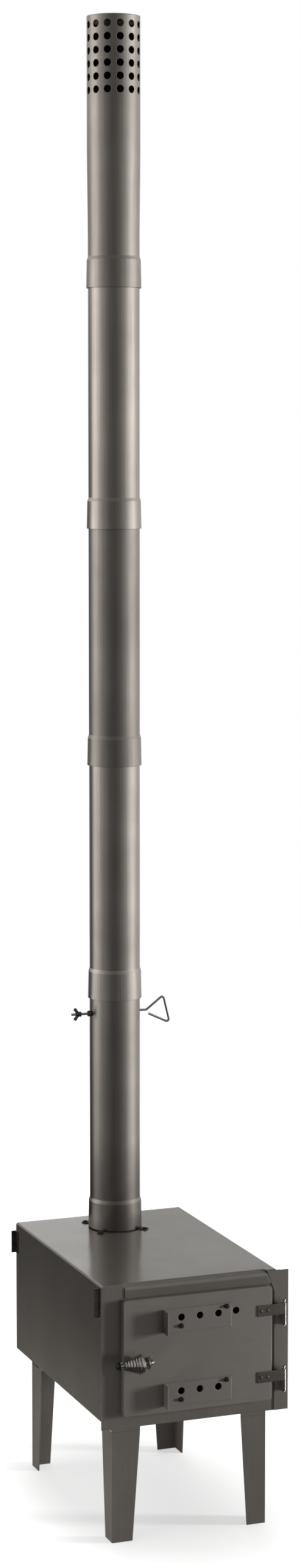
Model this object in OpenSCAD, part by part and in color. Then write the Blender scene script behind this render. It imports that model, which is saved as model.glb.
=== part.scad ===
// Wood stove for a wall tent: a sheet-steel firebox on four folding angle legs, with a hinged
// front door, two sliding draught vents, a coil-grip latch, and a five-piece flue that ends in a
// perforated spark arrestor. Millimetres, +Z up, the door faces -Y. The pieces are drawn about the
// middle of the body, and placed() then moves the origin to the middle of the overall footprint.

/* [Body] */
// Width of the body over its side panels
body_w = 312; // [290:1:420]
// Depth of the body from the front panel's face to the back
body_d = 442; // [425:1:600]
// Height of the side panels
body_h = 228; // [215:1:320]
// Height of the body's underside above the ground
stand_h = 209; // [170:1:215]
// Thickness of the body's sheet steel
sheet = 1.6; // [1:0.1:2.5]
// Outside radius of the two long bends along the top
bend_r = 4; // [3:0.5:8]
// Width of the welding flanges on the floor and back panels
flange_w = 12; // [8:1:20]

/* [Front] */
// How far the front panel hangs below the body's underside
front_drop = 14.5; // [10:0.5:16]
// Outside radius of the hood's bend over the front edge
hood_r = 10; // [6:1:12]
// How far the hood comes down over the front panel
hood_drop = 23; // [20:0.5:24]
// Gap between the body's left side and the hood's left end
hood_inset = 41; // [20:1:80]
// How far the hinge plate runs past the body's side
wing_w = 20.5; // [18:0.5:35]
// How far the hinge plate's top stays below the body's top
wing_top_gap = 2; // [0:0.5:6]
// Sideways run of the hinge plate's slanted corner
slant_w = 14.5; // [8:0.5:16]
// Height of the hinge plate's slanted corner
slant_h = 38; // [28:1:45]

/* [Door] */
// Body's left side to the door's left edge
stile_left = 35; // [28:1:50]
// Body's right side to the door's right edge
stile_right = 14; // [12:0.5:20]
// Body's top to the door's top edge
rail_top = 25; // [25:0.5:40]
// Body's underside to the door's bottom edge
rail_bottom = 8; // [2:0.5:20]
// Depth of the door pan
door_depth = 11.7; // [10:0.1:14]
// Gap between the door's rim and the front panel
door_gap = 0.3; // [0.2:0.1:1]
// Corner radius of the door
door_r = 4; // [3:0.5:10]
// How far the door laps over the opening on every side
door_lap = 12; // [8:0.5:16]
// Corner radius of the door opening
opening_r = 8; // [3:0.5:15]

/* [Hinges] */
// Door's right edge to the hinge axis
hinge_out = 23.5; // [21:0.5:27]
// Door's top edge to the middle of the upper hinge
hinge_top = 50; // [40:1:60]
// Door's bottom edge to the middle of the lower hinge
hinge_bottom = 31; // [25:1:40]
// Height of one knuckle
knuckle_h = 18.7; // [14:0.1:22]
// Outside radius of a knuckle
knuckle_r = 4; // [3.5:0.1:4.5]
// Radius of a hinge pin
hinge_pin_r = 2; // [1.5:0.1:2.4]
// Thickness of the hinge straps and lugs
strap_t = 1.6; // [1.2:0.1:2]
// Length of a strap's flat on the door
strap_l = 26; // [20:1:40]
// Height of the pin above the upper knuckle
pin_stand = 5.5; // [4:0.5:9]

/* [Vents] */
// Length of a vent slide
vent_w = 121; // [118:1:130]
// Height of a vent slide
vent_h = 39; // [36:1:45]
// Thickness of a vent slide
vent_t = 1.4; // [1:0.1:2]
// Depth of the bent finger tab
tab_d = 20; // [12:1:26]
// Diameter of the vent holes
vent_hole_d = 12; // [8:0.5:13]
// Distance from one vent hole to the next
vent_pitch = 33; // [31:0.5:35]
// Left edge of a slide to its first hole
vent_first = 31.5; // [30:0.1:34]
// Bottom edge of a slide to its row of holes
vent_row = 24; // [22:0.5:25]
// Left edge of a slide to its lower slot
slot_left = 13.7; // [12:0.1:15]
// Right edge of a slide to its upper slot
slot_right = 6; // [4:0.5:8]
// Length of a slot
slot_l = 20.5; // [18:0.1:21]
// Door's left edge to the slides' left edge
vent_x = 69; // [67:0.5:74]
// Door's top edge to the upper slide's top edge
vent_top = 21; // [15:0.5:25]
// Door's bottom edge to the lower slide's bottom edge
vent_bottom = 10; // [6:0.5:14]
// Diameter of the vent screws
screw_d = 4; // [3:0.5:5]

/* [Latch] */
// Door's left edge to the latch pivot
latch_x = 47; // [44:0.5:52]
// Door's bottom edge to the latch pivot
latch_z = 92.5; // [80:0.5:105]
// Diameter of the latch rod
latch_rod_d = 6; // [5:0.5:7]
// Bend radius at the rod's centre line
latch_bend_r = 8; // [6:0.5:10]
// Length of the rod's arm from the pivot to its tip
latch_arm = 68; // [66:1:80]
// Length of the tongue from the pivot
tongue_l = 46; // [44:0.5:48]
// Width of the tongue
tongue_w = 14; // [12:0.5:16]
// Thickness of the tongue
tongue_t = 3; // [2:0.5:4]
// Angle of the tongue above level while the grip lies level
tongue_rest = 60; // [60:1:70]
// Diameter of the grip's wire
coil_wire = 3.4; // [2.4:0.1:3.5]
// Radius of the grip's widest curl at the wire's centre
coil_big_r = 15.2; // [12:0.1:18]
// Radius of the grip's narrow end at the wire's centre
coil_small_r = 5.2; // [5.2:0.1:7]
// Number of curls in the grip
coil_turns = 8; // [5:1:8]

/* [Legs] */
// Middle of the body to the outside face of a leg
leg_x = 137; // [130:1:142]
// Body's back to the outside face of a rear leg
leg_rear = 28; // [15:1:32]
// Thickness of the legs and their brackets
leg_t = 2; // [1.6:0.1:2.5]
// Width of the front left and rear right legs at the top
leg_top_w = 49.5; // [46:0.5:54]
// Width of the front left and rear right legs at the foot
leg_foot_w = 36; // [28:0.5:40]
// Width of the front right and rear left legs at the top
leg_narrow_top_w = 44.5; // [42:0.5:54]
// Width of the front right and rear left legs at the foot
leg_narrow_foot_w = 33; // [26:0.5:40]
// Width of every leg's side flange at the top
leg_top_s = 49.5; // [46:0.5:54]
// Width of every leg's side flange at the foot
leg_foot_s = 33; // [26:0.5:38]
// Body's underside to the pivot bolt
leg_pivot_drop = 14; // [13.5:0.1:16]
// Pivot bolt to the top edge of the leg's flange
leg_shoulder = 7.5; // [6:0.5:8]
// Radius of the round ear about the pivot
leg_ear_r = 11.5; // [9:0.5:12]
// Diameter of the pivot bolts
leg_bolt_d = 6; // [5:0.5:6]

/* [Side ears] */
// How far the ears stand out from the side
ear_out = 9; // [6:0.5:14]
// Body's underside to the lower end of the ears
ear_z = 175; // [150:1:178]
// Height of the front ears
ear_front_h = 49; // [30:1:49]
// Height of the rear ears
ear_rear_h = 39; // [25:1:49]

/* [Flue] */
// Outside diameter of the flue pipe
flue_d = 88; // [76:1:102]
// Wall of the flue pipe
flue_t = 1; // [0.7:0.1:1.5]
// Full length of one flue section
section_l = 457; // [350:1:500]
// How far a section slips over the one below
flue_lap = 49; // [40:1:60]
// How much wider a slip end is at its mouth than the pipe
flare_d = 6; // [5.4:0.1:9]
// Number of flue sections
flue_n = 5; // [5:1:5]
// Body's back to the flue's axis
flue_y = 83; // [75:1:130]
// Full length of the top section
arrestor_l = 451.5; // [350:0.5:500]
// Extra width of the top section
arrestor_extra = 2.6; // [0:0.1:4]
// Rows of holes in the spark arrestor
arrestor_rows = 6; // [1:1:8]
// Holes in each row
arrestor_holes = 13; // [8:1:14]
// Diameter of the arrestor's holes
arrestor_hole_d = 12.5; // [6:0.5:13]
// Height from one row of holes to the next
arrestor_pitch = 21.7; // [18:0.1:24]
// Top rim to the first row of holes
arrestor_first = 14.5; // [12:0.5:30]
// Angle of the first column of holes from straight right
arrestor_turn = -95.6; // [-120:0.1:-90]
// Height of the flue collar above the body
collar_h = 44; // [30:1:46]
// Reach of the collar's tabs from the flue's axis
tab_reach = 63; // [60:0.5:70]

/* [Damper] */
// Height of the damper rod above the body's top
damper_h = 383; // [330:1:384]
// Diameter of the damper rod
damper_rod_d = 4; // [3:0.5:5]
// Gap between the damper plate's rim and the pipe
damper_gap = 1.6; // [1:0.1:4]
// Thickness of the damper plate
damper_t = 1.5; // [1:0.1:2.5]

/* [Fits] */
// Radial clearance of a pin or rod that turns in its hole
run_fit = 0.05; // [0.02:0.01:0.1]
// Gap between faces that slide past each other
slide_gap = 0.2; // [0.1:0.05:0.4]
// Gap at a seat that can be lifted off
seat_gap = 0.3; // [0.2:0.05:0.5]

/* [Hidden] */
$fn = 64;
eps = 0.01;

// Heights and faces of the body
top_z = stand_h + body_h;
front_y = -body_d / 2;
rear_y = body_d / 2;
inner_front_y = front_y + sheet;
half_w = body_w / 2;
plate_y = front_y - sheet;

// Door outline and opening
door_x0 = -half_w + stile_left;
door_x1 = half_w - stile_right;
door_z0 = stand_h + rail_bottom;
door_z1 = top_z - rail_top;
door_w = door_x1 - door_x0;
door_h = door_z1 - door_z0;
door_back_y = front_y - door_gap;
door_y = door_back_y - door_depth;

// Hinge plate and hood, which share one slanted line with a small gap
plate_x0 = door_x1 + 9;
slant_x0 = plate_x0 - slant_w;
slant_z0 = top_z - slant_h;
plate_gap = 1;
hood_x0 = -half_w + hood_inset;
hood_edge_y = plate_y + hood_r;
hood_edge_z = top_z - hood_r;

// Hinge axis
hinge_x = door_x1 + hinge_out;
hinge_y = door_y - strap_t + knuckle_r;
hinge_zs = [door_z0 + hinge_bottom, door_z1 - hinge_top];
knuckle_gap = seat_gap;

// Vents
vent_x0 = door_x0 + vent_x;
vent_z_upper = door_z1 - vent_top - vent_h;
vent_z_lower = door_z0 + vent_bottom;
vent_y = door_y - slide_gap - vent_t;
vent_bend_r = vent_t + 1;
slot_d = screw_d + 2 * seat_gap;
vent_travel = slot_l - slot_d;
slot_low_z = 9.5;
slot_high_z = vent_h - 4.5;
slot_high_x = vent_w - slot_right - slot_l;
screw_head_d = screw_d + 4.5;
screw_head_h = 2.2;
screw_low = [slot_left + slot_l - slot_d / 2, slot_low_z];
screw_high = [slot_high_x + slot_l - slot_d / 2, slot_high_z];

// Latch
latch_px = door_x0 + latch_x;
latch_pz = door_z0 + latch_z;
latch_stand = coil_big_r + coil_wire / 2 + 1.2;
latch_y = door_y - latch_stand;
tongue_y = inner_front_y + 0.5;
latch_nut_h = 4;
washer_t = 1.2;
coil_x0 = latch_bend_r + 4.5;
grip_washer_t = 2;
coil_l = latch_arm - 7.5 - coil_x0;
tip_nut_h = 7;

// Coil grip: straight end, quarter bend, curls, quarter bend, straight end
coil_sides = 6;
coil_rings = 8;
coil_bend = 3;
coil_end_r = 6.6;
coil_open = 0.15;
coil_straight = coil_wire;
coil_run = coil_l - 2 * (coil_straight + coil_bend);

// Radius of the grip's curls along its length, u from the wide end to the narrow one
function coil_r(u) = u < coil_open
    ? coil_end_r + (coil_big_r - coil_end_r) * sin(90 * u / coil_open)
    : coil_big_r - (coil_big_r - coil_small_r) * (u - coil_open) / (1 - coil_open);

// A point of the wire: how far along the grip, and its angle and radius about the arm
function coil_point(along, angle, r) = [-along, r * cos(angle), r * sin(angle)];

coil_arc = 3;
arc_turn_0 = coil_bend / coil_end_r * 180 / PI;
arc_turn_1 = coil_bend / coil_small_r * 180 / PI;
coil_curls = [for (i = [0:coil_turns * coil_rings])
    let (u = i / (coil_turns * coil_rings))
    coil_point(coil_straight + coil_bend + coil_run * u,
               arc_turn_0 + 360 * coil_turns * u, coil_r(u))];
coil_end_angle = arc_turn_0 + 360 * coil_turns + arc_turn_1;
coil_path = concat(
    [for (s = [0, 0.5]) coil_point(coil_straight * s, 0, coil_end_r)],
    [for (i = [0:coil_arc - 1]) let (b = 90 * i / coil_arc)
        coil_point(coil_straight + coil_bend * sin(b), arc_turn_0 * (1 - cos(b)), coil_end_r)],
    coil_curls,
    [for (i = [1:coil_arc]) let (b = 90 * i / coil_arc)
        coil_point(coil_straight + coil_bend + coil_run + coil_bend * (1 - cos(b)),
                   coil_end_angle - arc_turn_1 * (1 - sin(b)), coil_small_r)],
    [for (s = [0.5, 1])
        coil_point(coil_l - coil_straight * (1 - s), coil_end_angle, coil_small_r)]);

// Least gap between stretches of the wire that are more than half a curl apart
coil_gap = min([for (i = [0:len(coil_path) - 1], j = [i + 5:len(coil_path) - 1])
    norm(coil_path[i] - coil_path[j])]) - coil_wire;
echo(coil_gap = coil_gap);

function unit(v) = v / norm(v);

// Ring of points round the wire at point i of its path, square to the wire there
function coil_ring(i) =
    let (last = len(coil_path) - 1,
         p = coil_path[i],
         way = i <= 1 || i >= last - 1 ? [-1, 0, 0] : unit(coil_path[i + 1] - coil_path[i - 1]),
         out = unit([0, p.y, p.z]),
         a = unit(out - (out * way) * way),
         b = cross(way, a))
    [for (k = [0:coil_sides - 1])
        p + coil_wire / 2 * (cos(360 * k / coil_sides) * a + sin(360 * k / coil_sides) * b)];

// Legs
leg_front_y = inner_front_y;
leg_rear_y = rear_y - leg_rear;
pivot_z = stand_h - leg_pivot_drop;
pivot_y = leg_top_s - leg_ear_r;
leg_top = pivot_z - leg_shoulder;
bracket_in = leg_t + slide_gap + 0.1;
bolt_r = leg_bolt_d / 2;

// Flue
flue_r = flue_d / 2;
flue_cy = rear_y - flue_y;
lift_z = section_l - flue_lap;
seat_z = top_z + 1.5 + seat_gap;
mouth_r = flue_r + flare_d / 2;
neck_r = mouth_r - 1;
cone_h = 6;
hole_clear = 0.2;
rim_z = seat_z + (flue_n - 1) * lift_z + arrestor_l;
collar_tab_t = 1.5;
collar_tab_w = 14;
screw_ring_r = tab_reach - 5;

// Damper
damper_z = top_z + damper_h;
damper_r = flue_r - flue_t - damper_gap;
rod_r = damper_rod_d / 2;

// Overall footprint, which sets the origin
reach_left = half_w + ear_out;
reach_right = half_w + wing_w;
reach_front = max([for (i = [0:len(coil_path) - 1], q = coil_ring(i)) -q.y]) - latch_y;
mid_x = (reach_right - reach_left) / 2;
mid_y = (rear_y - reach_front) / 2;

// Colours of the photographed finishes
sheet_colour = [0.36, 0.34, 0.31];
dark_colour = [0.25, 0.24, 0.22];
pipe_colour = [0.62, 0.59, 0.56];
plated_colour = [0.80, 0.79, 0.76];

module placed() {
    translate([-mid_x, -mid_y, 0]) children();
}

// A rectangle with round corners from its lower left corner
module rounded_rect(w, h, r) {
    translate([r, 0]) square([w - 2 * r, h]);
    translate([0, r]) square([w, h - 2 * r]);
    for (x = [r, w - r], z = [r, h - r])
        translate([x, z]) circle(r);
}

// An outline drawn in X and Z, given a thickness along +Y from y
module upright(y, t) {
    translate([0, y + t, 0]) rotate([90, 0, 0]) linear_extrude(t) children();
}

// An outline drawn in Y and Z, given a thickness along +X from x
module sideways(x, t) {
    translate([x, 0, 0]) rotate([90, 0, 90]) linear_extrude(t) children();
}

// A cylinder along Y from y0 to y1
module rod_y(x, z, y0, y1, r) {
    translate([x, y1, z]) rotate([90, 0, 0]) cylinder(r = r, h = y1 - y0);
}

// A cylinder along X from x0 to x1
module rod_x(y, z, x0, x1, r) {
    translate([x0, y, z]) rotate([0, 90, 0]) cylinder(r = r, h = x1 - x0);
}

// A hexagonal nut along Y, by its width across flats
module hex_y(x, z, y0, y1, flats) {
    translate([x, y1, z]) rotate([90, 0, 0])
        cylinder(r = flats / sqrt(3), h = y1 - y0, $fn = 6);
}

// A hexagonal nut along X, by its width across flats
module hex_x(y, z, x0, x1, flats) {
    translate([x0, y, z]) rotate([0, 90, 0])
        cylinder(r = flats / sqrt(3), h = x1 - x0, $fn = 6);
}

// Section of the body across its width, open below
module cover_section(w, h, r) {
    translate([-w / 2, 0]) square([w, h - r]);
    translate([-w / 2 + r, 0]) square([w - 2 * r, h]);
    for (side = [-1, 1])
        translate([side * (w / 2 - r), h - r]) circle(r);
}

// Hood profile in Y and Z: flat top, quarter bend and a lip down the front
module hood_profile() {
    translate([hood_edge_y, top_z - sheet]) square([sheet, sheet]);
    intersection() {
        translate([hood_edge_y, hood_edge_z]) difference() {
            circle(hood_r);
            circle(hood_r - sheet);
        }
        translate([plate_y, hood_edge_z]) square(hood_r);
    }
    translate([plate_y, top_z - hood_drop]) square([sheet, hood_drop - hood_r]);
}

// Everything right of the slanted line, moved left by a gap
module beyond_slant(gap) {
    below = body_h;
    lean = slant_w / slant_h;
    polygon([[slant_x0 - gap, top_z], [slant_x0 - gap + body_w, top_z],
             [slant_x0 - gap + body_w, top_z - below], [slant_x0 - gap + lean * below, top_z - below]]);
}

// Body: top and sides bent from one sheet, with the hood over the front edge
module body_shell() {
    hood_l = slant_x0 + slant_w - hood_x0;
    color(sheet_colour) placed() {
        difference() {
            upright(inner_front_y, body_d - sheet)
                translate([0, stand_h]) cover_section(body_w, body_h, bend_r);
            upright(inner_front_y - eps, body_d)
                translate([0, stand_h - eps])
                    cover_section(body_w - 2 * sheet, body_h - sheet + eps, bend_r - sheet);
            translate([hood_x0, inner_front_y - eps, top_z - 2 * sheet])
                cube([slant_x0 - plate_gap - hood_x0, hood_edge_y - inner_front_y + eps, 3 * sheet]);
            translate([0, flue_cy, top_z - 2 * sheet])
                cylinder(r = flue_r + hole_clear, h = 3 * sheet);
            for (a = [45:90:315])
                translate([0, flue_cy, top_z - 2 * sheet]) rotate([0, 0, a])
                    translate([screw_ring_r, 0, 0])
                        cylinder(r = screw_d / 2 + run_fit, h = 3 * sheet);
        }
        difference() {
            sideways(hood_x0, hood_l) hood_profile();
            upright(plate_y - 1, hood_r + 2 * sheet) beyond_slant(plate_gap);
        }
    }
}

// Floor of the firebox, with flanges up against the side panels
module floor_panel() {
    inner_w = body_w - 2 * sheet;
    color(sheet_colour) placed() {
        translate([-inner_w / 2, inner_front_y, stand_h])
            cube([inner_w, body_d - 2 * sheet, sheet]);
        for (side = [0, 1])
            translate([side * (inner_w - sheet) - inner_w / 2, inner_front_y, stand_h])
                cube([sheet, body_d - 2 * sheet, flange_w]);
    }
}

// Back of the firebox, with flanges forward along the side panels
module back_panel() {
    inner_w = body_w - 2 * sheet;
    color(sheet_colour) placed() {
        upright(rear_y - sheet, sheet)
            translate([0, stand_h]) cover_section(inner_w, body_h - sheet, bend_r - sheet);
        for (side = [0, 1])
            translate([side * (inner_w - sheet) - inner_w / 2, rear_y - flange_w, stand_h + flange_w + 1])
                cube([sheet, flange_w, body_h - 3 * flange_w]);
    }
}

// Front panel round the door opening; its lower edge hangs in front of the leg brackets
module front_panel() {
    low_z = stand_h - front_drop;
    color(sheet_colour) placed()
        upright(front_y, sheet) difference() {
            translate([0, low_z]) cover_section(body_w, body_h + front_drop, bend_r);
            translate([door_x0 + door_lap, door_z0 + door_lap])
                rounded_rect(door_w - 2 * door_lap, door_h - 2 * door_lap, opening_r);
            difference() {
                translate([hood_x0 - seat_gap, hood_edge_z - seat_gap])
                    square([slant_x0 + slant_w - hood_x0, 2 * hood_r]);
                beyond_slant(plate_gap - seat_gap);
            }
        }
}

// Flat plate over the front panel's right stile, which carries the hinges past the body's side
module hinge_plate() {
    low_z = stand_h - front_drop;
    color(sheet_colour) placed()
        upright(plate_y, sheet)
            polygon([[plate_x0, low_z], [half_w + wing_w, low_z],
                     [half_w + wing_w, top_z - wing_top_gap],
                     [slant_x0 + wing_top_gap * slant_w / slant_h, top_z - wing_top_gap],
                     [plate_x0, slant_z0]]);
}

// One ear: a flange on the side panel and a fin that stands out from it
module side_ear(y, height, base_dir) {
    base_l = 14;
    translate([-half_w - sheet, base_dir > 0 ? y : y - base_l, stand_h + ear_z])
        cube([sheet, base_l, height]);
    translate([-half_w - ear_out, base_dir > 0 ? y : y - sheet, stand_h + ear_z])
        cube([ear_out, sheet, height]);
}

// Upright ears on both sides, that take the hooks of a side shelf
module side_ears() {
    front_ear_y = front_y + 7;
    color(dark_colour) placed()
        for (side = [0, 1]) mirror([side, 0, 0]) {
            side_ear(front_ear_y, ear_front_h, 1);
            side_ear(rear_y - 0.5, ear_rear_h, -1);
        }
}

// Fixed half of one hinge: base on the hinge plate, block and lower knuckle
module hinge_lug(z) {
    base_x = plate_x0 + 1.5;
    block_x = hinge_x - knuckle_r;
    translate([0, 0, z - knuckle_h]) linear_extrude(knuckle_h) difference() {
        union() {
            translate([base_x, plate_y - strap_t])
                square([hinge_x + knuckle_r + 1 - base_x, strap_t]);
            polygon([[block_x - 3, plate_y - strap_t], [hinge_x + knuckle_r, plate_y - strap_t],
                     [hinge_x + knuckle_r, hinge_y], [block_x, hinge_y]]);
            translate([hinge_x, hinge_y]) circle(knuckle_r);
        }
        translate([hinge_x, hinge_y]) circle(hinge_pin_r + run_fit);
    }
}

module hinge_lugs() {
    color(plated_colour) placed()
        for (z = hinge_zs) hinge_lug(z - knuckle_gap / 2);
}

// Loose pins dropped through the knuckles from above
module hinge_pins() {
    head_h = 2;
    color(plated_colour) placed()
        for (z = hinge_zs) translate([hinge_x, hinge_y, z]) {
            translate([0, 0, -knuckle_h - 2])
                cylinder(r = hinge_pin_r, h = 2 * knuckle_h + 2 + pin_stand);
            translate([0, 0, knuckle_h + pin_stand - head_h])
                cylinder(r = hinge_pin_r + 0.8, h = head_h);
        }
}

// Ring that the lowest flue section slips over, held by four tabs
module flue_collar() {
    color(dark_colour) placed() translate([0, flue_cy, 0]) difference() {
        union() {
            translate([0, 0, top_z - 5]) cylinder(r = flue_r, h = collar_h + 5);
            for (a = [45:90:315]) rotate([0, 0, a]) {
                translate([flue_r - 2, -collar_tab_w / 2, top_z])
                    cube([tab_reach - 4 - flue_r + 2, collar_tab_w, collar_tab_t]);
                translate([tab_reach - 4, 4 - collar_tab_w / 2, top_z])
                    cube([4, collar_tab_w - 8, collar_tab_t]);
                for (side = [-1, 1])
                    translate([tab_reach - 4, side * (collar_tab_w / 2 - 4), top_z])
                        cylinder(r = 4, h = collar_tab_t);
            }
        }
        translate([0, 0, top_z - 6]) cylinder(r = flue_r - flue_t, h = collar_h + 8);
        for (a = [45:90:315]) rotate([0, 0, a])
            translate([screw_ring_r, 0, top_z - 1])
                cylinder(r = screw_d / 2 + run_fit, h = collar_tab_t + 2);
    }
}

// Screws through the collar's tabs and the body's top
module collar_screws() {
    color(plated_colour) placed() translate([0, flue_cy, 0])
        for (a = [45:90:315]) rotate([0, 0, a]) translate([screw_ring_r, 0, 0]) {
            translate([0, 0, top_z - 8]) cylinder(r = screw_d / 2, h = 8 + collar_tab_t + eps);
            translate([0, 0, top_z + collar_tab_t]) cylinder(r = screw_d / 2 + 1.9, h = 1.2);
            translate([0, 0, top_z + collar_tab_t + 1.2]) cylinder(r1 = screw_d / 2 + 1.9, r2 = screw_d / 2, h = 1.2);
        }
}

// The four corners: each child is drawn with its outside corner at 0,0, +X inwards and +Y along
// the body's depth towards its middle
module leg_corner(side, end) {
    translate([side * leg_x, end > 0 ? leg_rear_y : leg_front_y, 0])
        mirror([side > 0 ? 1 : 0, 0, 0])
            mirror([0, end > 0 ? 1 : 0, 0]) children();
}

// Angle bracket under the floor: a web that the leg stands up against, and an ear for the bolt
module leg_bracket(top_w) {
    web_z = leg_top + seat_gap;
    difference() {
        union() {
            translate([0, 0, web_z]) cube([top_w, leg_t, stand_h - web_z]);
            sideways(bracket_in, leg_t) {
                translate([leg_t, web_z]) square([leg_top_s - leg_t, stand_h - web_z]);
                translate([pivot_y, pivot_z]) circle(leg_ear_r);
            }
            translate([bracket_in, 0, stand_h - leg_t])
                cube([top_w - bracket_in - 6, leg_top_s, leg_t]);
        }
        rod_x(pivot_y, pivot_z, -1, bracket_in + leg_t + 1, bolt_r + run_fit);
        translate([-1, -1, stand_h]) cube([leg_top_s * 2, leg_top_s * 2, 20]);
    }
}

module leg_bracket_front_left() {
    color(sheet_colour) placed() leg_corner(-1, -1) leg_bracket(leg_top_w);
}

module leg_bracket_front_right() {
    color(sheet_colour) placed() leg_corner(1, -1) leg_bracket(leg_narrow_top_w);
}

module leg_bracket_rear_left() {
    color(sheet_colour) placed() leg_corner(-1, 1) leg_bracket(leg_narrow_top_w);
}

module leg_bracket_rear_right() {
    color(sheet_colour) placed() leg_corner(1, 1) leg_bracket(leg_top_w);
}

// Tapered angle leg with a round ear about its pivot hole
module leg(top_w, foot_w) {
    difference() {
        union() {
            upright(0, leg_t)
                polygon([[0, 0], [foot_w, 0], [top_w, leg_top], [0, leg_top]]);
            sideways(0, leg_t) {
                polygon([[0, 0], [leg_foot_s, 0], [leg_top_s, leg_top], [0, leg_top]]);
                translate([pivot_y - leg_ear_r, leg_top - eps])
                    square([2 * leg_ear_r, leg_shoulder + eps]);
                translate([pivot_y, pivot_z]) circle(leg_ear_r);
            }
        }
        rod_x(pivot_y, pivot_z, -1, leg_t + 1, bolt_r + run_fit);
    }
}

module leg_front_left() {
    color(sheet_colour) placed() leg_corner(-1, -1) leg(leg_top_w, leg_foot_w);
}

module leg_front_right() {
    color(sheet_colour) placed() leg_corner(1, -1) leg(leg_narrow_top_w, leg_narrow_foot_w);
}

module leg_rear_left() {
    color(sheet_colour) placed() leg_corner(-1, 1) leg(leg_narrow_top_w, leg_narrow_foot_w);
}

module leg_rear_right() {
    color(sheet_colour) placed() leg_corner(1, 1) leg(leg_top_w, leg_foot_w);
}

// Round-headed bolts that the legs turn on, and the nuts inside the brackets
module leg_bolts() {
    head_r = leg_bolt_d;
    head_h = 3;
    color(plated_colour) placed()
        for (side = [-1, 1], end = [-1, 1]) leg_corner(side, end) {
            rod_x(pivot_y, pivot_z, -seat_gap, bracket_in + leg_t + 7, bolt_r);
            rod_x(pivot_y, pivot_z, -seat_gap - 1, -seat_gap, head_r);
            translate([-seat_gap - 1, pivot_y, pivot_z]) rotate([0, -90, 0])
                cylinder(r1 = head_r, r2 = head_r - 2.5, h = head_h - 1);
        }
}

module leg_nuts() {
    nut_h = 5;
    color(plated_colour) placed()
        for (side = [-1, 1], end = [-1, 1]) leg_corner(side, end) difference() {
            hex_x(pivot_y, pivot_z, bracket_in + leg_t, bracket_in + leg_t + nut_h, leg_bolt_d + 4);
            rod_x(pivot_y, pivot_z, 0, bracket_in + leg_t + nut_h + 1, bolt_r + run_fit);
        }
}

// Places its child at each vent screw
module at_vent_screws() {
    for (z = [vent_z_lower, vent_z_upper], p = [screw_low, screw_high])
        translate([vent_x0 + p.x, 0, z + p.y]) children();
}

// Door: a shallow pan with its rim towards the front panel
module door() {
    color(sheet_colour) placed() difference() {
        upright(door_y, door_depth)
            translate([door_x0, door_z0]) rounded_rect(door_w, door_h, door_r);
        upright(door_y + sheet, door_depth)
            translate([door_x0 + sheet, door_z0 + sheet])
                rounded_rect(door_w - 2 * sheet, door_h - 2 * sheet, door_r - sheet);
        for (z = [vent_z_lower, vent_z_upper], i = [0:2])
            rod_y(vent_x0 + vent_first + i * vent_pitch, z + vent_row, door_y - 1, door_y + sheet + 1,
                  vent_hole_d / 2);
        rod_y(vent_x0 + vent_first + 3 * vent_pitch - 1, vent_z_upper + vent_row + 1,
              door_y - 1, door_y + sheet + 1, vent_hole_d / 2);
        at_vent_screws() rod_y(0, 0, door_y - 1, door_y + sheet + 1, screw_d / 2 + run_fit);
        rod_y(latch_px, latch_pz, door_y - 1, door_y + sheet + 1, latch_rod_d / 2 + run_fit);
    }
}

// Moving half of each hinge: a strap on the door's face with the upper knuckle rolled on its end
module hinge_strap(z) {
    translate([0, 0, z]) linear_extrude(knuckle_h) difference() {
        union() {
            translate([door_x1 - strap_l, door_y - strap_t])
                square([strap_l + hinge_out, strap_t]);
            translate([hinge_x, hinge_y]) circle(knuckle_r);
        }
        translate([hinge_x, hinge_y]) circle(hinge_pin_r + run_fit);
    }
}

module hinge_straps() {
    color(plated_colour) placed()
        for (z = hinge_zs) hinge_strap(z + knuckle_gap / 2);
}

// Low round rivet heads on the straps
module strap_rivets() {
    rivet_r = 3;
    color(dark_colour) placed()
        for (z = hinge_zs, x = [6, 18])
            translate([door_x1 - strap_l + x, door_y - strap_t, z + knuckle_gap / 2 + knuckle_h / 2])
                rotate([90, 0, 0]) cylinder(r1 = rivet_r, r2 = rivet_r - 1, h = 1.2);
}

// Sliding vent plate with its finger tab bent out at the left end
module vent_slide(z) {
    inner_r = vent_bend_r - vent_t;
    difference() {
        translate([vent_x0, vent_y, z]) linear_extrude(vent_h) {
            translate([vent_bend_r, 0]) square([vent_w - vent_bend_r, vent_t]);
            translate([0, -tab_d]) square([vent_t, tab_d - inner_r]);
            translate([vent_bend_r, -inner_r]) intersection() {
                difference() {
                    circle(vent_bend_r);
                    circle(inner_r);
                }
                translate([-vent_bend_r, 0]) square(vent_bend_r);
            }
        }
        for (i = [0:2])
            rod_y(vent_x0 + vent_first + i * vent_pitch, z + vent_row, vent_y - 1, vent_y + vent_t + 1,
                  vent_hole_d / 2);
        for (p = [[slot_left, slot_low_z], [slot_high_x, slot_high_z]])
            upright(vent_y - 1, vent_t + 2)
                translate([vent_x0 + p.x, z + p.y - slot_d / 2])
                    rounded_rect(slot_l, slot_d, slot_d / 2 - eps);
    }
}

module vent_slide_upper() {
    color(sheet_colour) placed() vent_slide(vent_z_upper);
}

module vent_slide_lower() {
    color(sheet_colour) placed() vent_slide(vent_z_lower);
}

// Screws that each slide hangs on, and the nuts behind the door
module vent_screws() {
    head_y = vent_y - slide_gap;
    color(plated_colour) placed() at_vent_screws() {
        rod_y(0, 0, head_y - eps, door_y + sheet + 4, screw_d / 2);
        rod_y(0, 0, head_y - 1, head_y, screw_head_d / 2);
        translate([0, head_y - 1, 0]) rotate([90, 0, 0])
            cylinder(r1 = screw_head_d / 2, r2 = screw_head_d / 2 - 1.4, h = screw_head_h - 1);
    }
}

module vent_nuts() {
    color(plated_colour) placed() at_vent_screws() difference() {
        hex_y(0, 0, door_y + sheet, door_y + sheet + 3, screw_d + 3);
        rod_y(0, 0, door_y, door_y + sheet + 4, screw_d / 2 + run_fit);
    }
}

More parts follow.
